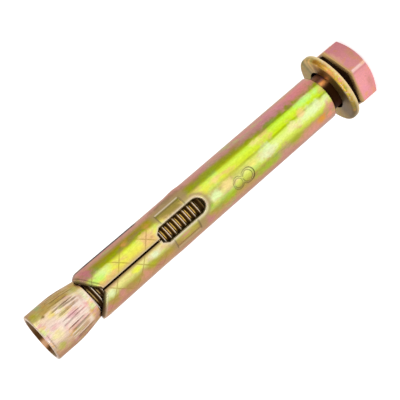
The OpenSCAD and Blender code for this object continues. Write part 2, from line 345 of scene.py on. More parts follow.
def cone_nut():
    """The nut as one closed surface: up the fluted outside, over the mouth, down the countersink and the
    inner thread, which runs in step with the bolt's, and across the small end."""
    angles = np.radians(np.linspace(0, 360, 385))
    flat = 0 * angles
    low_r = nut_outside(NUT_TOP - NUT_LOW)
    d = np.concatenate([np.linspace(NUT_TOP - NUT_LOW - 0.15, 2.6, 64), [2.2, 1.6, 1.0, 0.75, 0.62, 0.5]])
    pressed = flute_depth(angles, np.repeat(d[:, None], len(angles), 1))
    wall = nut_outside(d)[:, None] - pressed
    heights = np.repeat((NUT_TOP - d)[:, None], len(angles), 1)
    bore_low = SHANK_R - THREAD_DEPTH.max() * 0.8 + THREAD_GAP
    lead_r = SHANK_R + THREAD_GAP + LEAD_GAP
    mouth_z = NUT_TOP - MOUTH_DEPTH
    foot_r, foot_z = rounded([
        (lead_r + flat, NUT_LOW, 0), (low_r + flat, NUT_LOW, 0.13), (wall[0], heights[0], 0)])
    lip_r, lip_z = rounded([
        (wall[-1], heights[-1], 0), (NUT_R + flat, NUT_TOP, 0.4), (MOUTH_R, NUT_TOP, 0.12),
        (bore_low + 0.1, mouth_z, 0)], steps=6)
    z, depth, _ = helix_rows(angles, NUT_LOW, mouth_z)
    bore = np.maximum(SHANK_R - depth + THREAD_GAP, bore_low)
    bore = np.maximum(bore, lead_r - (z - NUT_LOW))
    bore = np.where(z >= mouth_z, bore_low + 0.1, bore)
    r = np.concatenate([foot_r, wall[1:], lip_r, bore[::-1], foot_r[:1]])
    h = np.concatenate([foot_z, heights[1:], lip_z, z[::-1], foot_z[:1]])

    def column(wall_rows):
        return np.concatenate([0 * foot_r, wall_rows, 0 * lip_r, 0 * bore, 0 * foot_r[:1]])

    def toward(direction, half, soft):
        return step_up(half - np.abs(away(angles, direction)), soft)

    # Outside: painted shade in the flutes, a painted highlight on the ridges between them, strongest toward
    # the front and the back, pale on the lip, and one dark line below the lip
    along = step_up(d[1:, None] - 4.0, 0.8) * step_up(9.8 - d[1:, None], 0.8)
    lit_front_and_back = 0.2 + 0.8 * step_up(50 - np.abs((np.degrees(angles) + 185) % 180 - 90), 15)
    ridge = column(step_up(0.03 - pressed[1:], 0.03) * along * lit_front_and_back)
    groove_shade = column(step_up(pressed[1:] - 0.02, 0.12))
    lip = step_up(h - (NUT_TOP - 0.3), 0.25) * (r > MOUTH_R)
    line_by_lip = 0.45 * toward(-105, 24, 12) * bell(h - NUT_TOP + 0.62, 0.1) * (r > MOUTH_R)
    # In the mouth: brown painted shade, with a pale patch of painted light on its far wall, and less shade on
    # a tan side and a green side
    inside = (np.arange(len(r)) >= len(foot_r) + len(wall) - 1)[:, None] & (r < MOUTH_R + 0.04)
    lit_patch, tan_side, green_side = toward(112, 19, 15), toward(42, 40, 34), toward(156, 24, 18)
    mouth = 0.95 - 0.72 * lit_patch - 0.2 * tan_side - 0.32 * green_side
    pale = most(0.7 * ridge, 0.45 * lip, 0.3 * inside * lit_patch)
    dark = np.where(inside, mouth, most(0.38 * groove_shade, 0.2 * lip, line_by_lip))
    gold = 0.9 * inside * (1 - 0.8 * most(green_side, tan_side))
    return turned(r, h, angles, pale, dark, gold)


# The slit sleeve


def outline_distance(points, outline):
    """Distance from each point to a closed outline, below zero inside it: the least distance to its edges,
    with the sign from how many edges a ray to the right crosses."""
    a, b = outline, np.roll(outline, -1, 0)
    edge = b - a
    w = points[:, None] - a
    t = np.clip((w * edge).sum(-1) / (edge * edge).sum(-1), 0, 1)
    least = np.linalg.norm(w - edge * t[..., None], axis=-1).min(1)
    y = points[:, None, 1]
    spans = (a[:, 1] > y) != (b[:, 1] > y)
    at = a[:, 0] + (y - a[:, 1]) * edge[:, 0] / np.where(edge[:, 1] == 0, 1, edge[:, 1])
    inside = (spans & (points[:, None, 0] < at)).sum(1) % 2 == 1
    return np.where(inside, -least, least)


def unrolled(outline, degrees):
    """An outline drawn across the tube, laid on the flat sheet: its edges are divided, and a width x becomes
    the arc SLEEVE_R x asin(x / SLEEVE_R), counted from the given direction."""
    a = np.array(outline, dtype=float)
    b = np.roll(a, -1, 0)
    t = np.arange(8)[:, None, None] / 8
    p = (a + (b - a) * t).transpose(1, 0, 2).reshape(-1, 2)
    x = SLEEVE_R * np.arcsin(np.clip(p[:, 0] / SLEEVE_R, -1, 1)) + SLEEVE_R * np.radians(degrees)
    return np.stack([x, p[:, 1]], -1)


def sleeve_cuts():
    """Outlines of all that is cut from the sheet: the windows, the slits, and the notches at their ends."""
    half, end = WINDOW_W / 2, WINDOW_END_W / 2
    turn = np.radians(np.linspace(180, 360, 13))
    corner_z = WINDOW_TOP - WINDOW_CORNER
    window = [(half * np.cos(t), WINDOW_LOW + half + half * np.sin(t)) for t in turn]
    window += [(half, corner_z), (end, WINDOW_TOP), (-end, WINDOW_TOP), (-half, corner_z)]

    def slit(low):
        e, top = SLIT_W / 2, SIDE_NOTCH_Z + 0.4
        return [(-e, low), (e, low), (e, top), (-e, top)]

    def notch(low, e, left, right):
        return [(-e, low + 0.35), (-0.55 * e, low), (0.55 * e, low), (e, low + 0.35), (right, SLEEVE_TOP),
                (right, SLEEVE_TOP + 1), (-left, SLEEVE_TOP + 1), (-left, SLEEVE_TOP)]

    cuts = [unrolled(notch(SIDE_NOTCH_Z, SLIT_W / 2, SIDE_NOTCH_REACH, NOTCH_REACH), SLIT_DEG + 90),
            unrolled(notch(SIDE_NOTCH_Z, SLIT_W / 2, NOTCH_REACH, SIDE_NOTCH_REACH), SLIT_DEG - 90),
            unrolled(slit(FLARE_FROM), SLIT_DEG + 90), unrolled(slit(FLARE_FROM), SLIT_DEG - 90)]
    for around in (0, 180):
        cuts.append(unrolled(window, around))
        cuts.append(unrolled(slit(WINDOW_TOP - 0.2), around + SLIT_DEG))
        cuts.append(unrolled(notch(NOTCH_Z, NOTCH_END_W / 2, NOTCH_REACH, NOTCH_REACH), around + SLIT_DEG))
    return cuts


def cut_sheet(u, z, margin):
    """Triangles over the grid of u and z that cover the part where margin is above zero.
    Grid points within a third of a cell from the cut move onto it, and a triangle that the cut crosses keeps
    the side with the sheet, closed by points where margin, taken as straight along each edge, is zero."""
    points = np.stack(np.meshgrid(u, z), -1).reshape(-1, 2)
    cell = np.minimum(*np.meshgrid(np.gradient(u), np.gradient(z))).reshape(-1)
    room, h = margin(points), 0.01
    slope = np.stack([margin(points + e) - margin(points - e) for e in ((h, 0), (0, h))], -1) / (2 * h)
    slope[(points[:, 0] == u[0]) | (points[:, 0] == u[-1]), 0] = 0
    slope[(points[:, 1] == z[0]) | (points[:, 1] == z[-1]), 1] = 0
    steep = (slope * slope).sum(-1)
    near = (np.abs(room) < 0.35 * cell) & (steep > 0.2)
    points[near] -= (room[near] / steep[near])[:, None] * slope[near]
    room[near] = 0
    i = np.arange(len(points)).reshape(len(z), len(u))
    odd = (np.add.outer(np.arange(len(z) - 1), np.arange(len(u) - 1)) % 2 == 1).reshape(-1, 1)
    a, b, c, d = (q.reshape(-1, 1) for q in (i[:-1, :-1], i[:-1, 1:], i[1:, 1:], i[1:, :-1]))
    lower, upper = [a, b, np.where(odd, d, c)], [np.where(odd, b, a), c, d]
    triangles = np.concatenate([np.hstack(lower), np.hstack(upper)])
    sign = np.sign(room[triangles])
    middle = margin(points[triangles].mean(1))
    whole = (sign >= 0).all(1) & ((sign > 0).any(1) | (middle > 0))
    below = (sign < 0).sum(1)
    parts = [points[triangles[whole]]]

    def crossing(high, low):
        share = np.where(room[high] > 0, room[high] / np.maximum(room[high] - room[low], 1e-12), 0)
        return points[high] + share[:, None] * (points[low] - points[high])

    for count in (1, 2):
        crossed = (sign > 0).any(1) & (below == count)
        lone = sign[crossed] < 0 if count == 1 else sign[crossed] >= 0
        order = (lone.argmax(1)[:, None] + np.arange(3)) % 3
        a, b, c = np.take_along_axis(triangles[crossed], order, 1).T    # a is alone on its side of the cut
        if count == 1:
            x, y = crossing(b, a), crossing(c, a)
            parts += [np.stack([x, points[b], points[c]], 1), np.stack([x, points[c], y], 1)]
        else:
            parts.append(np.stack([points[a], crossing(a, b), crossing(a, c)], 1))
    flat = np.concatenate(parts).reshape(-1, 2)
    return merged(flat, np.arange(len(flat)).reshape(-1, 3))[:2]


def spaced(*runs):
    """Grid lines from runs of (start, end, spacing), without doubles."""
    lines = [np.linspace(a, b, max(int(round((b - a) / s)), 1) + 1) for a, b, s in runs]
    return np.unique(np.round(np.concatenate(lines), 6))


def sleeve_grid():
    """Grid lines of the flat sheet, round it as arc in mm and along it as height. They are close at the cuts
    and the pressed forms, and wide where the sheet is plain."""
    seam = SEAM_DEG + 90
    gap = SEAM_W / 2 / DEG_MM
    low, high = seam - 360 + gap, seam - gap
    u = DEG_MM * spaced(
        (low, low + 1.5, 0.75), (seam - 358.5, -95, 3.5), (-95, -89, 1.5), (-89, -50, 3.2), (-50, -48.7, 1.3),
        (-48.7, -42, 1.34), (-42, -2, 1.25), (-2, 48.7, 1.56), (48.7, 50, 1.3), (50, 80, 3.0), (80, 94, 1.4),
        (94, 150, 3.5), (150, 212, 1.9), (212, high - 1.5, 3), (high - 1.5, high, 0.75))
    z = spaced(
        (SLEEVE_LOW, 10.5, 0.1), (10.5, 32.1, 1.2), (32.1, 38.1, 0.11), (38.1, 43.5, 0.9), (43.5, 56.3, 0.15),
        (56.3, 69.3, 0.5), (69.3, 72.1, 0.14), (72.1, SLEEVE_TOP, 0.1))
    return u, z


def quarter(distance, radius):
    """Drop of a surface toward a rounded edge: radius - sqrt(radius^2 - (radius - distance)^2)."""
    return radius - np.sqrt(np.maximum(radius * radius - np.maximum(radius - distance, 0) ** 2, 0))


def pressed_pads(x, h):
    """The pads at both sides of the windows: each is a shallow box with a low ridge along its outer edge.
    Returns how deep the sheet is pressed in, and from 0 to 1 the boxes, a painted highlight along their outer
    edges, and painted shade at their ends and just inside their long edges."""
    depth, boxes, edges, corners = np.zeros((4, len(x)))
    for around in (0, 180):
        for side in (-1, 1):
            across = (x / DEG_MM - around + 180) % 360 - 180
            across = (across * side - PAD_DEG) * DEG_MM     # outward from the pad's middle
            along = np.abs(h - PAD_Z)
            within = step_up(PAD_LEN / 2 - along, 0.2)
            box = step_up(PAD_W / 2 - across, 0.16) * step_up(across + PAD_W / 2 + 0.2, 0.5) * within
            ridge = bell(across - PAD_W / 2 - 0.1, 0.28) * step_up(PAD_LEN / 2 + 0.4 - along, 0.6)
            depth += PAD_DEPTH * box - 0.07 * ridge
            boxes += box
            # painted highlight along the pad's outer edge, stronger on one side
            edges += (0.65 + 0.35 * side) * bell(across - PAD_W / 2, 0.085) * within
            # painted shade at the pad's ends and just inside its long edges
            ends = bell(along - PAD_LEN / 2, 0.13) * step_up(PAD_W / 2 + 0.1 - np.abs(across), 0.2)
            corners += np.maximum(ends, 0.9 * bell(across - PAD_W / 2 + 0.27, 0.12) * within)
    return depth, boxes, edges, corners


def ring_distance(x, y, half_w, half_h):
    """About how far a point is from an ellipse: f (f - 1) / slope, with f the ellipse's own radius."""
    f = np.sqrt((x / half_w) ** 2 + (y / half_h) ** 2) + 1e-9
    slope = np.sqrt((x / half_w ** 2) ** 2 + (y / half_h ** 2) ** 2) + 1e-9
    return np.abs(f * (f - 1) / slope)


def numeral(x, h):
    """The pressed 8, two rings on one another, with a low lip round its stroke. Returns how deep the sheet is
    pressed in, the distance from the stroke's middle, and from 0 to 1 where the lower ring's foot is, which
    is pressed wider."""
    x, z = x - EIGHT_DEG * DEG_MM, h - EIGHT_Z
    foot = step_up(-(z + EIGHT_HALF), EIGHT_HALF)
    lower = ring_distance(x, z + EIGHT_HALF, 1.34, 1.32) - 0.1 * foot
    upper = ring_distance(x, z - EIGHT_HALF, 1.16, 1.06)
    stroke = np.minimum(lower, upper)
    lip = 0.4 * bell(stroke - EIGHT_LINE - 0.12, 0.12)
    return EIGHT_DEPTH * (step_up(EIGHT_LINE + 0.06 - stroke, 0.14) - lip), stroke, foot


def sleeve_film(x, h, cut, boxes, edges, corners, stroke, foot):
    """Film of the sleeve's outer side, by arc x, height h and distance from the nearest cut: pale as a
    painted highlight along the windows' edges, the right edge of the slits and the pads' outer edges, with a
    pale line along the notches' left edges and a little along the numeral's stroke; dark as painted shade
    round the numeral's stroke, in the pads' corners and at the notches, and as a painted shadow along the
    open side slit;
    and gold beside the windows, below them and along the left edge of the slits above them."""
    front = (x / DEG_MM + 90) % 180 - 90    # degrees from the middle of the nearer window
    by_window = (h < WINDOW_TOP + 0.6) & (np.abs(front) < 45)
    right = front > SLIT_DEG                # of the slit above the window
    left = front < SLIT_DEG
    at_notch = step_up(h - NOTCH_Z + 0.3, 0.3)
    # Painted highlights along the windows' edges and the slits' right edges
    slit_highlight = (0.75 - 0.6 * at_notch) * bell(cut, 0.3 + 0.3 * at_notch) * right
    cut_edge_highlight = np.where(by_window, 0.85 * bell(cut, 0.38), slit_highlight)
    pale_line = at_notch * left * bell(cut - 0.5, 0.14)
    pale = most(cut_edge_highlight, 0.12 * bell(stroke, 0.09), 0.8 * edges, 0.55 * pale_line)

    # Painted shade round the numeral's stroke, deeper at the lower ring's foot, a painted shadow along the
    # open side slit, and painted shade along the notches' edges and in the pads' corners
    rim = (0.48 + 0.4 * foot) * bell(stroke - EIGHT_LINE, 0.08)
    side = np.abs((x / DEG_MM - 84 + 180) % 360 - 180)      # degrees from the middle of the painted shadow along the side slit
    slit_shadow = step_up(8.6 - side, 1.5) * step_up(h - FLARE_FROM, 0.6) * step_up(71.8 - h, 0.5)
    notch_shade_line = at_notch * bell(cut - np.where(left, 0.18, 0.62), 0.14)
    dark = most(rim, 0.45 * corners, 0.9 * slit_shadow, 0.85 * at_notch * bell(cut, 0.25), 0.5 * notch_shade_line)

    beside = step_up(5.2 - np.abs(h - PAD_Z + 0.4), 1.8) * step_up(66 - np.abs(front), 14)
    low_end = step_up(WINDOW_LOW + 2.6 - h, 1.2) * (np.abs(front) < 60) * bell(cut - 0.65, 0.4)
    left_edge = np.where(by_window | right, 0, bell(cut, 0.4))
    gold = most(0.75 * beside * (1 - 0.85 * np.minimum(boxes, 1)), 0.8 * low_end, 0.7 * left_edge)
    return np.stack([pale, dark, gold * (1 - pale)], -1)


def sleeve():
    """The slit sleeve as a bent sheet with thickness. The flat sheet (arc x, height h) is a grid with the
    windows, slits and notches cut out. It is rolled up at the outer radius, which is rounded off toward each
    cut as a quarter circle, pressed in at the pads and along the numeral, and a little wider at the petals'
    tips. The inner surface is the same sheet at the inner radius, and a wall joins them along each edge."""
    cuts = sleeve_cuts()

    def margin(p):
        return np.min([outline_distance(p, c) for c in cuts], axis=0)

    u, z = sleeve_grid()
    flat, faces = cut_sheet(u, z, margin)
    x, h = flat[:, 0], flat[:, 1]
    cut = np.maximum(margin(flat), 0)
    end = np.minimum(np.minimum(h - SLEEVE_LOW, SLEEVE_TOP - h), np.minimum(x - u[0], u[-1] - x) + 0.05)
    pressed, boxes, edges, corners = pressed_pads(x, h)
    stamped, stroke, foot = numeral(x, h)
    flare = FLARE * step_up(h - FLARE_FROM, SLEEVE_TOP - FLARE_FROM)
    degrees = x / DEG_MM
    side_slit = SLIT_DEG + 90
    lifted = SLIT_LIFT * np.exp(-np.maximum(side_slit - degrees, 0) / 9) * (degrees < side_slit)
    lifted *= step_up(h - FLARE_FROM, 1.5)
    # Two low bulges beside the window, one at the right and one at the left
    bulge = 0.2 * bell(degrees - 84, 12) * bell(h - 46.6, 1.5)
    bulge += 0.11 * bell(degrees + 97, 14) * bell(h - 51.5, 3.0)
    soft = 0.3 + 0.4 * step_up(h - NOTCH_Z + 0.6, 0.8)      # the notches' edges are rounder
    edge = np.maximum(quarter(cut, soft), quarter(end, 0.15))
    outer = SLEEVE_R + flare + lifted + bulge - pressed - stamped - edge
    inner = SLEEVE_R - SHEET + flare + quarter(np.minimum(cut, end), 0.08)
    around = x / SLEEVE_R - np.pi / 2
    ring = np.stack([np.cos(around), np.sin(around)], -1)
    points = np.concatenate([np.column_stack([ring * r[:, None], h]) for r in (outer, inner)])

    n = len(flat)
    sides = np.concatenate([faces[:, [0, 1]], faces[:, [1, 2]], faces[:, [2, 0]]])
    rim = sides[~np.isin(sides[:, 0] * n + sides[:, 1], sides[:, 1] * n + sides[:, 0])]
    i, j = rim[:, 0], rim[:, 1]
    walls = np.concatenate([np.stack([j, i, i + n], -1), np.stack([j, i + n, j + n], -1)])
    outside = sleeve_film(x, h, cut, boxes, edges, corners, stroke, foot)
    inside = np.tile([0.0, 0.97, 0.0], (n, 1))      # painted shade: the tube's inside is dark all over
    return points, np.concatenate([faces, faces[:, ::-1] + n, walls]), np.concatenate([outside, inside])


# Colours and materials


def linear(hex_colour):
    """An sRGB hex colour as the linear RGBA that Blender uses."""
    c = np.array([int(hex_colour[i:i + 2], 16) for i in (1, 3, 5)]) / 255
    return (*np.where(c <= 0.04045, c / 12.92, ((c + 0.055) / 1.055) ** 2.4), 1.0)


def add(tree, kind, inputs=(), stops=None, **settings):
    """Adds a node with its settings and returns its outputs. kind is its type without ShaderNode in front.
    inputs gives sockets a value or a link, by name or as a list in their order, which for a map range is
    value, from, from, to and to. stops fills a colour ramp."""
    node = tree.nodes.new("ShaderNode" + kind)
    for name, value in settings.items():
        setattr(node, name, value)
    sockets = inputs if isinstance(inputs, dict) else dict(enumerate(inputs))
    for name, value in sockets.items():
        if isinstance(value, bpy.types.NodeSocket):
            tree.links.new(value, node.inputs[name])
        else:
            node.inputs[name].default_value = value
    if stops:
        ramp = node.color_ramp
        while len(ramp.elements) > 1:
            ramp.elements.remove(ramp.elements[0])
        ramp.elements[0].position, ramp.elements[0].color = stops[0][0], linear(stops[0][1])
        for at, colour in stops[1:]:
            ramp.elements.new(at).color = linear(colour)
    return node.outputs


def emptied(owner):
    """The node tree of a material or a world, with nothing in it."""
    owner.use_nodes = True
    owner.node_tree.nodes.clear()
    return owner.node_tree


def by_direction(stops):
    """Colour stops given by direction round the axis in degrees, as places from 0 to 1 on a ramp."""
    return [((at + 180) / 360, colour) for at, colour in stops]


def with_patches(tree, colour, mm, patches):
    """A colour whose hue changes where a noise is high. patches are (hex colour, share, size in mm, and how
    many times longer it is along the axis)."""
    for k, (hex_colour, share, size, stretch) in enumerate(patches):
        scale, shift = (1 / size, 1 / size, 1 / (size * stretch)), (7.3 * k + 1.7,) * 3
        spot = add(tree, "VectorMath", [mm, scale, shift], operation="MULTIPLY_ADD")[0]
        noise = add(tree, "TexNoise", {"Vector": spot, "Scale": 1.0, "Detail": 3.0, "Roughness": 0.55})["Fac"]
        mask = add(tree, "MapRange", [noise, 0.54, 0.66, 0.0, share], interpolation_type="SMOOTHSTEP")[0]
        colour = add(tree, "Mix", {"Factor": mask, 6: colour, 7: linear(hex_colour)}, data_type="RGBA",
                     blend_type="COLOR")[2]
    return colour


def with_stains(tree, colour, mm, turn, level, radius, stains):
    """A colour with stains on the given radius. Each fades by the distance from its middle, as a share of its
    half sizes, and a noise makes it ragged."""
    sheet = add(tree, "CombineXYZ", {"X": turn, "Y": level})[0]
    ragged = add(tree, "TexNoise", {"Vector": mm, "Scale": 0.9, "Detail": 3.0})["Fac"]
    for direction, height, across, along, hex_colour, share in stains:
        middle, size = (-np.radians(direction), -height, 0), (radius / across, 1 / along, 0)
        off = add(tree, "VectorMath", [sheet, middle], operation="ADD")[0]
        off = add(tree, "VectorMath", [off, size], operation="MULTIPLY")[0]
        off = add(tree, "VectorMath", [off], operation="LENGTH")["Value"]
        off = add(tree, "Math", [ragged, 2.0, off], operation="MULTIPLY_ADD")[0]
        mask = add(tree, "MapRange", [off, 1.25, 2.45, share, 0.0], interpolation_type="SMOOTHSTEP")[0]
        colour = add(tree, "Mix", {"Factor": mask, 6: colour, 7: linear(hex_colour)}, data_type="RGBA")[2]
    return colour


def scribed_lines(tree, turn, xyz):
    """From 0 to 1 where the sleeve is scribed: lines at 45 degrees both ways across its slit part, SCRIBE
    apart along it, weaker away from where they cross. They are drawn a little wider than the real 0.15 mm."""
    round_mm = add(tree, "Math", [turn, SLEEVE_R, SLEEVE_R * np.pi / 2], operation="MULTIPLY_ADD")[0]
    near, fading = [], []
    for sign, start in ((1.0, 59.25), (-1.0, 55.8)):
        run = add(tree, "Math", [round_mm, sign, xyz["Z"]], operation="MULTIPLY_ADD")[0]
        run = add(tree, "Math", [run, start], operation="SUBTRACT")[0]
        run = add(tree, "Math", [run, SCRIBE / 2], operation="PINGPONG")[0]
        near.append(add(tree, "MapRange", [run, 0.08, 0.24, 1.0, 0.0], interpolation_type="SMOOTHSTEP")[0])
        fading.append(add(tree, "MapRange", [run, 1.2, 3.2, 1.0, 0.35])[0])
    lines = [add(tree, "Math", [near[k], fading[1 - k]], operation="MULTIPLY")[0] for k in (0, 1)]
    line = add(tree, "Math", lines, operation="MAXIMUM")[0]
    # Only above the windows, on the front and the back
    zone = add(tree, "MapRange", [xyz["Z"], 55.6, 56.4, 0.0, 0.5])[0]
    aside = add(tree, "Math", [xyz["Y"]], operation="ABSOLUTE")[0]
    zone = add(tree, "MapRange", [aside, 2.2, 3.4, 0.0, zone])[0]
    return add(tree, "Math", [line, zone], operation="MULTIPLY")[0]


def chromated_zinc(surface, radius, bands, far_bands, warp, patches, stains, grain, roughness, tint, pale,
                   dark, gold, scribed=False):
    """Yellow-chromated zinc plate on steel. The film is a fraction of a micrometre thick, so its colour runs
    through pink, olive, lime and gold in long streaks. The bands round the axis carry these together with
    painted reflections of the lights on the side that faces the camera; they are bent by a slow noise (by
    warp of a turn) and change from bands to far_bands toward the nut. patches change the hue here and there,
    and stains lie where the real piece has them, on the given radius, with a few pale ones on the sleeve that
    are painted highlights.
    The piece's film attribute says where it turns pale, dark or gold: its pale is mostly painted highlight
    and its dark mostly painted shade. grain is the plate's fine unevenness, as its size across and along the
    axis in mm and its contrast, and tint is how much of red, green and blue the film lets through."""
    material = bpy.data.materials.new("Yellow_chromated_zinc_on_" + surface)
    tree = emptied(material)
    where = add(tree, "TexCoord")["Object"]
    mm = add(tree, "VectorMath", {0: where, "Scale": 1 / MM}, operation="SCALE")[0]
    xyz = add(tree, "SeparateXYZ", [mm])
    turn = add(tree, "Math", [xyz["Y"], xyz["X"]], operation="ARCTAN2")[0]
    place = add(tree, "Math", [turn, 1 / (2 * np.pi), 0.5], operation="MULTIPLY_ADD")[0]
    long_mm = add(tree, "VectorMath", [mm, (0.3, 0.3, 0.12)], operation="MULTIPLY")[0]
    slow = add(tree, "TexNoise", {"Vector": long_mm, "Scale": 1.0, "Detail": 3.0})["Fac"]
    bent = add(tree, "Math", [slow, warp, place], operation="MULTIPLY_ADD")[0]
    bent = add(tree, "Math", [bent, warp / 2], operation="SUBTRACT")[0]
    bent = add(tree, "Math", [bent], operation="FRACT")[0]
    colour = add(tree, "ValToRGB", {"Fac": bent}, stops=bands)["Color"]
    if far_bands:
        # The change is gradual, from about 25 to 51 mm up, and wanders with the slow noise
        far = add(tree, "ValToRGB", {"Fac": bent}, stops=far_bands)["Color"]
        reach = add(tree, "Math", [slow, 34.0, xyz["Z"]], operation="MULTIPLY_ADD")[0]
        share = add(tree, "MapRange", [reach, 42.0, 68.0])[0]
        colour = add(tree, "Mix", {"Factor": share, 6: colour, 7: far}, data_type="RGBA")[2]
    colour = with_patches(tree, colour, mm, patches)
    colour = with_stains(tree, colour, mm, turn, xyz["Z"], radius, stains)
    across, along, contrast = grain
    fine = add(tree, "VectorMath", [mm, (1 / across, 1 / across, 1 / along)], operation="MULTIPLY")[0]
    height = add(tree, "TexNoise", {"Vector": fine, "Scale": 1.0, "Detail": 5.0, "Roughness": 0.65})["Fac"]
    tone = add(tree, "MapRange", [height, 0.3, 0.7, 1 - contrast, 1 + 0.8 * contrast])[0]
    colour = add(tree, "VectorMath", {0: colour, "Scale": tone}, operation="SCALE")[0]
    colour = add(tree, "VectorMath", [colour, tint], operation="MULTIPLY")[0]
    if scribed:
        line = scribed_lines(tree, turn, xyz)
        colour = add(tree, "Mix", {"Factor": line, 6: colour, 7: linear("#8a6c1c")}, data_type="RGBA")[2]
        height = add(tree, "Math", [line, -1.2, height], operation="MULTIPLY_ADD")[0]
    film = add(tree, "SeparateColor", [add(tree, "Attribute", attribute_name="film")["Color"]])
    for channel, hex_colour in (("Blue", gold), ("Red", pale), ("Green", dark)):
        colour = add(tree, "Mix", {"Factor": film[channel], 6: colour, 7: linear(hex_colour)},
                     data_type="RGBA")[2]
    bump = add(tree, "Bump", {"Height": height, "Strength": 0.25, "Distance": 0.03 * MM})["Normal"]
    rough = add(tree, "MapRange", [slow, 0.3, 0.7, roughness - 0.05, roughness + 0.06])[0]
    # Where the film attribute is dark, which is mostly painted shade, the metal and its shine are turned down
    bare = add(tree, "Math", [1.0, film["Green"]], operation="SUBTRACT")[0]
    gloss = add(tree, "Math", [bare, 0.5], operation="MULTIPLY")[0]
    shader = add(tree, "BsdfPrincipled", {
        "Base Color": colour, "Metallic": bare, "Roughness": rough, "Normal": bump,
        "Specular IOR Level": gloss, "Specular Tint": linear("#eee2dd")})[0]
    add(tree, "OutputMaterial", {"Surface": shader})
    return material


# Colours by direction round the axis, in degrees: -90 faces the window, 0 is to its right. They are the
# film's colours together with painted reflections of the studio's lights: on the sleeve the bright lime, mint
# and yellow streaks from about -115 to -59 degrees are painted reflections, split near the window's middle by
# a darker line
SLEEVE_BANDS = by_direction([
    (-180, "#a87c74"), (-153, "#b0847a"), (-140, "#b6906c"), (-130, "#ae9458"), (-122, "#a49a46"),
    (-115, "#b8c04c"), (-108, "#cad858"), (-102, "#dae680"), (-95, "#dcea88"), (-88, "#cee264"),
    (-84.5, "#a4b81c"), (-82, "#a4b410"), (-80, "#bed810"), (-71, "#c8e438"), (-65, "#c4e84c"),
    (-59.5, "#acd02c"), (-56.5, "#84900c"), (-52, "#848c14"), (-45, "#887a30"), (-37, "#a07860"),
    (-27, "#bc8480"), (-14, "#b48480"), (20, "#9c8838"), (34, "#9ca828"), (46, "#c4dc4c"), (66, "#d4e074"),
    (82, "#a8bc28"), (96, "#ccdc60"), (118, "#8c9418"), (136, "#a07850"), (156, "#b08078"),
    (180, "#a87c74")])
SLIT_BANDS = by_direction([
    (-180, "#ac7c68"), (-153, "#ae8268"), (-140, "#b28860"), (-130, "#a88e44"), (-122, "#a49642"),
    (-115, "#c0c06c"), (-108, "#dcd688"), (-102, "#e2da90"), (-98.5, "#d8c880"), (-95.6, "#ac9656"),
    (-90, "#b09858"), (-83.6, "#d4bc6a"), (-77.6, "#e2d858"), (-71, "#e2de58"), (-65, "#dee260"),
    (-59, "#d4de48"), (-54.5, "#b0b41c"), (-50.5, "#8c9408"), (-46, "#88900c"), (-38, "#8c8010"),
    (-33, "#988048"), (-27, "#ac8070"), (-14, "#b88480"), (14, "#98804c"), (34, "#a09030"), (50, "#d0c058"),
    (70, "#e0d878"), (90, "#d8bc68"), (108, "#d0cc58"), (118, "#94941c"), (144, "#a07e5c"),
    (180, "#ac7c68")])
# On the head: a painted highlight on the near corner, from -89 to -85.5 degrees, and the face from -146.5 to
# -86.5 lighter than its neighbour as painted light
HEAD_BANDS = by_direction([
    (-180, "#c07878"), (-150, "#dc9090"), (-120, "#e89c9e"), (-95, "#e2989a"), (-91, "#cc8488"),
    (-89, "#e8bcb4"), (-85.5, "#ecc8c0"), (-84, "#cc8888"), (-60, "#c88484"), (-30, "#bc787c"),
    (0, "#b8786c"), (40, "#c08070"), (80, "#c08860"), (120, "#c87e78"), (180, "#c07878")])
# On the washer: lightest near -84 degrees, as a painted highlight on the side that faces the camera
WASHER_BANDS = by_direction([
    (-180, "#a88c50"), (-135, "#b09850"), (-112, "#bc9854"), (-84, "#d8ac50"), (-60, "#c49c48"),
    (-20, "#a08c48"), (60, "#a88c54"), (120, "#bc9c5c"), (180, "#a88c50")])
# On the nut: the film's tan and cream, lightest from about -120 to -62 degrees, on the side that faces the
# camera, as painted light
NUT_BANDS = by_direction([
    (-180, "#987048"), (-150, "#a87c58"), (-135, "#bc9470"), (-120, "#ccb08c"), (-108, "#e0c4ac"),
    (-92, "#e8d0bc"), (-80, "#e6ccb8"), (-62, "#e0c8a8"), (-52, "#d4b890"), (-48, "#b49858"),
    (-42, "#a88c48"), (-28, "#a88c4c"), (-10, "#a48858"), (40, "#b48c60"), (80, "#d4b494"), (110, "#d8bca0"),
    (134, "#a88c58"), (152, "#8c9448"), (168, "#987850"), (180, "#987048")])
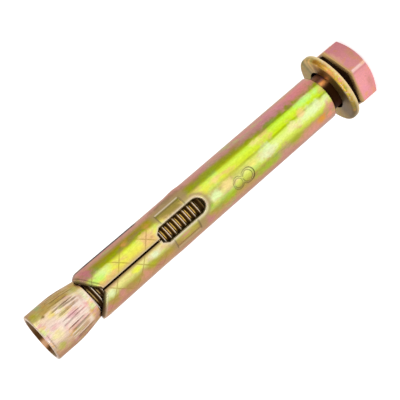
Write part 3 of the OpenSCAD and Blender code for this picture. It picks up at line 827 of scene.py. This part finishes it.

# Stains where the film changes colour on the real pieces, and on the sleeve a few pale mint and cream spots
# that are painted highlights: direction in degrees, height, half width, half length in mm, colour, share
SLEEVE_STAINS = [
    (-31, 19.8, 1.4, 5.0, "#c08090", 0.6), (-37, 13.9, 2.0, 4.7, "#cc7884", 0.7),
    (-65, 14.7, 0.7, 3.2, "#b8f090", 0.65), (-94, 15.0, 1.1, 3.9, "#e0f0c0", 0.75),
    (-118, 11.2, 1.4, 1.5, "#d08088", 0.8), (-134, 12.0, 0.8, 0.8, "#e88c6c", 0.7),
    (-135, 15.1, 1.4, 5.1, "#cc8880", 0.7), (-132, 14.1, 0.9, 1.3, "#d09030", 0.9),
    (-122, 21.4, 0.7, 1.7, "#98a428", 0.75), (-37, 25.1, 1.1, 7.2, "#b8788c", 0.6),
    (-65, 28.5, 0.6, 1.5, "#ecd098", 0.65), (-97, 27.9, 1.3, 2.7, "#dcecc0", 0.75),
    (-94, 20.6, 0.8, 1.2, "#ecdcb0", 0.65), (-82, 17.5, 0.8, 1.3, "#f0c080", 0.6),
    (-133, 24.3, 1.6, 2.0, "#c08484", 0.75), (-129, 28.9, 0.9, 3.3, "#94b428", 0.75),
    (-141, 17.3, 0.9, 2.8, "#cc8c84", 0.7), (-96, 31.7, 0.9, 1.1, "#e8d870", 0.6),
    (-70, 39.8, 0.6, 1.4, "#ecc890", 0.75), (-97, 41.7, 1.0, 1.3, "#d8f0b4", 0.8),
    (-94, 38.4, 0.8, 1.5, "#f0d894", 0.75), (-108, 43.6, 0.7, 0.7, "#88bc10", 0.7),
    (-122, 39.1, 0.7, 2.0, "#98b820", 0.7), (-135, 45.0, 1.3, 1.1, "#b87880", 0.8),
    (-62, 48.6, 0.6, 2.9, "#8c6c50", 0.7), (-27, 36.2, 0.9, 5.1, "#a87880", 0.6),
    (-126, 50.0, 0.8, 2.6, "#b0a848", 0.7), (-122, 50.8, 0.35, 1.4, "#cc9484", 0.8),
    (-54, 50.3, 0.9, 2.6, "#8c7c34", 0.85), (-24, 49.2, 1.2, 4.2, "#84684c", 0.8),
    (-45, 40.5, 0.8, 5.0, "#889410", 0.7), (-45, 54.9, 0.9, 1.6, "#a08820", 0.7),
    (-48, 55.6, 0.7, 0.8, "#b88448", 0.7), (-74, 56.4, 0.35, 0.5, "#94701c", 0.8),
    (-68, 57.0, 1.3, 1.9, "#e4b48c", 0.85), (-45, 61.0, 0.8, 0.9, "#bc8848", 0.85),
    (-64, 67.6, 0.9, 1.6, "#d4eca0", 0.7), (-70, 69.0, 0.8, 1.2, "#bce868", 0.7),
    (-40, 70.2, 1.5, 1.6, "#b4687c", 0.8), (-107, 57.9, 0.7, 1.8, "#dcecc8", 0.8),
    (-121, 59.4, 0.8, 1.2, "#a4a824", 0.75), (-105, 62.4, 0.6, 1.3, "#dce438", 0.8),
    (-132, 61.2, 1.3, 1.3, "#cc8c80", 0.75), (-129, 67.1, 1.3, 0.8, "#c48480", 0.8),
    (-110, 69.0, 0.7, 1.2, "#d8e4b8", 0.8), (-136, 70.6, 1.1, 1.1, "#bc7c7c", 0.8)]
NUT_STAINS = [
    (-32, 82.2, 0.9, 0.7, "#a09428", 0.85), (-14, 80.6, 1.2, 0.8, "#8c9c60", 0.85),
    (-52, 81.0, 0.35, 0.5, "#705818", 0.85), (-78, 72.9, 1.7, 0.5, "#d8dca8", 0.8),
    (-90, 76.0, 1.2, 1.2, "#d8a49c", 0.6), (-74, 78.0, 0.5, 1.5, "#dccc80", 0.7),
    (-110, 77.5, 0.6, 1.6, "#d8a098", 0.6), (-78, 82.7, 0.9, 0.5, "#d0dc80", 0.8),
    (-100, 81.0, 1.1, 1.2, "#ecdc9c", 0.75), (-84, 80.9, 0.5, 1.1, "#e0a8a0", 0.7),
    (-59, 79.6, 0.7, 1.1, "#dcc860", 0.7), (-86, 76.8, 0.5, 0.9, "#e0a0a4", 0.7),
    (-91, 74.2, 0.8, 1.1, "#dc9c94", 0.7), (-111, 73.9, 0.4, 0.8, "#c89c48", 0.8),
    (-103, 72.9, 0.8, 0.6, "#ccdc90", 0.7), (-69, 74.3, 1.0, 1.2, "#b89078", 0.6),
    (-127, 81.6, 0.8, 0.9, "#b0b040", 0.7), (-126, 73.8, 0.8, 0.6, "#d0b450", 0.6)]
BOLT_STAINS = [
    (-90, 9.0, 8.0, 2.8, "#74481c", 0.95), (-60, 9.0, 1.3, 2.2, "#f4a860", 0.95),
    (-26, 9.0, 2.4, 2.2, "#84501c", 0.9), (-88, 50.0, 7.0, 12.0, "#f4cc60", 0.95),
    (-88, 71.0, 7.0, 3.0, "#c4a860", 0.9), (-50, 4.3, 1.8, 0.7, "#d4a884", 0.5),
    (-60, 1.3, 1.4, 0.7, "#b48c5c", 0.45), (-125, 1.4, 1.8, 0.7, "#bc8470", 0.45)]
WASHER_STAINS = [
    (-66, 8.4, 1.5, 0.7, "#e09c64", 0.9), (-44, 8.1, 2.0, 0.8, "#a07020", 0.85),
    (-18, 7.8, 2.4, 1.2, "#948858", 0.6), (-150, 7.6, 3.0, 1.4, "#6c5c40", 0.9),
    (-34, 8.2, 0.8, 0.6, "#8c5c1c", 0.8), (-8, 8.0, 0.6, 0.5, "#c8a870", 0.8),
    (4, 7.8, 0.8, 0.6, "#6c6c38", 0.8), (-20, 8.1, 0.6, 0.5, "#d8a868", 0.8),
    (-128, 8.0, 0.9, 0.7, "#98803c", 0.8), (-141, 7.9, 0.5, 0.5, "#b88850", 0.6),
    (-164, 7.6, 0.9, 0.7, "#5c5840", 0.8), (-84, 8.0, 0.5, 0.3, "#f0a8a0", 0.7),
    (-98, 7.9, 0.5, 0.3, "#a8a030", 0.7), (-75, 7.9, 0.4, 0.3, "#e0d080", 0.7),
    (-106, 7.8, 0.5, 0.3, "#f0c890", 0.7)]

MATERIALS = {
    # Bright film over a rolled sheet: lime and gold streaks, partly painted reflections, painted highlights
    # along its cut and pressed edges, and painted shade in its hollows, inside it and along the side slit
    "sleeve_zinc": chromated_zinc(
        "rolled_sheet", SLEEVE_R, SLEEVE_BANDS, SLIT_BANDS, warp=0.018,
        patches=[("#f4c088", 0.6, 3.0, 2.4), ("#c0f088", 0.5, 3.6, 2.0), ("#e08c98", 0.4, 2.6, 2.2)],
        stains=SLEEVE_STAINS, grain=(0.35, 0.7, 0.13), roughness=0.3, tint=(1.0, 1.0, 0.89),
        pale="#d4c4b0", dark="#2c1c08", gold="#9c8460", scribed=True),
    # Cold-headed bolt: a rose film on the forged head, with a painted highlight on its near corner and one
    # face lit by painted light, brassy where it is threaded; the stem is painted dark as shade, with painted
    # highlights on the crests and painted light on the flanks where the thread shows
    "bolt_zinc": chromated_zinc(
        "forged_bolt", HEAD_APOTHEM, HEAD_BANDS, None, warp=0.008,
        patches=[("#c89048", 0.4, 1.6, 1.0), ("#b878a0", 0.15, 2.0, 1.2)],
        stains=BOLT_STAINS, grain=(0.3, 0.3, 0.1), roughness=0.32, tint=(1.0, 1.0, 1.0),
        pale="#dccfbf", dark="#301806", gold="#b89460"),
    # Stamped washer: speckled gold rim and a tan flat, with painted shade toward the shank, under the
    # sleeve's end and on its underside, a painted sheen and a painted highlight along its lower edge
    "washer_zinc": chromated_zinc(
        "stamped_washer", WASHER_R, WASHER_BANDS, None, warp=0.03,
        patches=[("#ec8838", 0.9, 0.5, 1.0), ("#b8b818", 0.9, 0.6, 1.0), ("#f0ecd8", 0.8, 0.4, 1.0)],
        stains=WASHER_STAINS, grain=(0.3, 0.3, 0.2), roughness=0.35, tint=(1.0, 1.0, 0.85),
        pale="#f0dcb0", dark="#2c1808", gold="#6c5a3c"),
    # Pressed nut: tan and cream, with painted shade in the pressed flutes and in the mouth, and painted
    # highlights on the ridges
    "nut_zinc": chromated_zinc(
        "pressed_nut", NUT_R, NUT_BANDS, None, warp=0.025,
        patches=[("#d4d878", 0.5, 2.2, 1.4), ("#e89c9c", 0.6, 1.7, 2.0), ("#c89840", 0.6, 1.0, 3.0)],
        stains=NUT_STAINS, grain=(0.24, 1.2, 0.22), roughness=0.34, tint=(1.03, 1.04, 1.12),
        pale="#e8d8c8", dark="#442c12", gold="#e89c4c"),
}


# The four pieces


def placed(name, data):
    """A new object in the scene that shows the given mesh, light or camera."""
    item = bpy.data.objects.new(name, data)
    bpy.context.scene.collection.objects.link(item)
    return item


def piece(name, node, body, slot, shape, sharp):
    """A closed mesh of the shape's triangles, smooth except along edges sharper than the given angle. It
    stands for its CAD node, rides on the same body and takes the same material slot."""
    points, faces, film = shape
    points, faces, first = merged(points, faces)
    film = np.clip(np.column_stack([film[first], np.ones(len(first))]), 0, 1).astype(np.float32)
    mesh = bpy.data.meshes.new(name)
    mesh.from_pydata(points * MM, [], faces)
    mesh.attributes.new("film", "FLOAT_COLOR", "POINT").data.foreach_set("color", film.reshape(-1))
    mesh.materials.append(MATERIALS[slot])
    mesh.shade_smooth()
    mesh.set_sharp_from_angle(angle=np.radians(sharp))
    mesh.update()
    item = placed(name, mesh)
    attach(item, body)
    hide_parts(node)


piece("hex_bolt_finish", "hex_bolt", "bolt", "bolt_zinc", hex_bolt(), 32)
piece("washer_finish", "washer", "loose_washer", "washer_zinc", washer(), 40)
piece("sleeve_finish", "sleeve", "slit_sleeve", "sleeve_zinc", sleeve(), 55)
piece("cone_nut_finish", "cone_nut", "nut", "nut_zinc", cone_nut(), 45)


# Floor, light and camera, in metres
PAPER_HALF = 6.0            # half of its width
PAPER_GAP = 0.00002         # the paper lies this far below the head
PAPER_GLOW = 0.7            # light that it gives off where it is seen, which makes it white
SKY_LIGHT = 0.8             # strength of the sky as a light, and where it is seen
SKY_SEEN = 1.0
LIGHTS = (                  # name, place, width, watts
    ("key", (-0.45, -0.75, 0.75), 0.5, 1.3),
    ("fill", (0.8, -0.35, 0.35), 0.5, 0.8),
    ("back", (0.1, 0.9, 0.6), 0.6, 1.0),
)
AIM = (0, 0, 0.04)          # the anchor's middle

# The camera of the photograph: its place, its two image directions, and its focal length in pixels
EYE = np.array([21.861, -194.089, 103.652]) * MM
RIGHT = np.array([-0.626708, -0.295073, -0.721228])
DOWN = np.array([-0.771945, 0.108616, 0.626341])
FOCAL = 1060.48
PHOTO_WIDTH = 400


def seen_directly(tree):
    """1 for camera, glossy and transmission rays, else 0, so that the metal mirrors the same white."""
    path = add(tree, "LightPath")
    seen = add(tree, "Math", [path["Is Camera Ray"], path["Is Glossy Ray"]], operation="MAXIMUM")[0]
    return add(tree, "Math", [seen, path["Is Transmission Ray"]], operation="MAXIMUM")[0]


paper = bpy.data.materials.new("White_paper")
tree = emptied(paper)
lift = add(tree, "Math", [seen_directly(tree), PAPER_GLOW], operation="MULTIPLY")[0]
matt = add(tree, "BsdfDiffuse", {"Color": linear("#cbcbcb")})[0]
glow = add(tree, "Emission", {"Color": linear("#ffffff"), "Strength": lift})[0]
add(tree, "OutputMaterial", {"Surface": add(tree, "AddShader", [matt, glow])[0]})

floor_mesh = bpy.data.meshes.new("floor")
low = CAD_BOX[0][2] - PAPER_GAP
corners = [(x * PAPER_HALF, y * PAPER_HALF, low) for x, y in ((-1, -1), (1, -1), (1, 1), (-1, 1))]
floor_mesh.from_pydata(corners, [], [(0, 1, 2, 3)])
floor_mesh.materials.append(paper)
floor = placed("floor", floor_mesh)

world = bpy.data.worlds.new("Soft_studio")
bpy.context.scene.world = world
tree = emptied(world)
level = add(tree, "MapRange", [seen_directly(tree), 0.0, 1.0, SKY_LIGHT, SKY_SEEN])[0]
sky = add(tree, "Background", {"Color": linear("#ffffff"), "Strength": level})[0]
add(tree, "OutputWorld", {"Surface": sky})

for name, place, width, watts in LIGHTS:
    light = bpy.data.lights.new(name, "AREA")
    light.size = width
    light.energy = watts
    lamp = placed(name, light)
    aim = Vector(np.subtract(AIM, place))
    lamp.matrix_world = Matrix.Translation(place) @ aim.to_track_quat("-Z", "Y").to_matrix().to_4x4()

camera = bpy.data.cameras.new("camera")
camera.sensor_width = 36
camera.lens = FOCAL / PHOTO_WIDTH * camera.sensor_width
camera.clip_start = 0.01
camera.clip_end = 50
view = placed("camera", camera)
turn = np.eye(4)
turn[:3] = np.column_stack([RIGHT, -DOWN, -np.cross(RIGHT, DOWN), EYE])
view.matrix_world = Matrix(turn.tolist())
bpy.context.scene.camera = view
bpy.context.scene.view_settings.view_transform = "Standard"
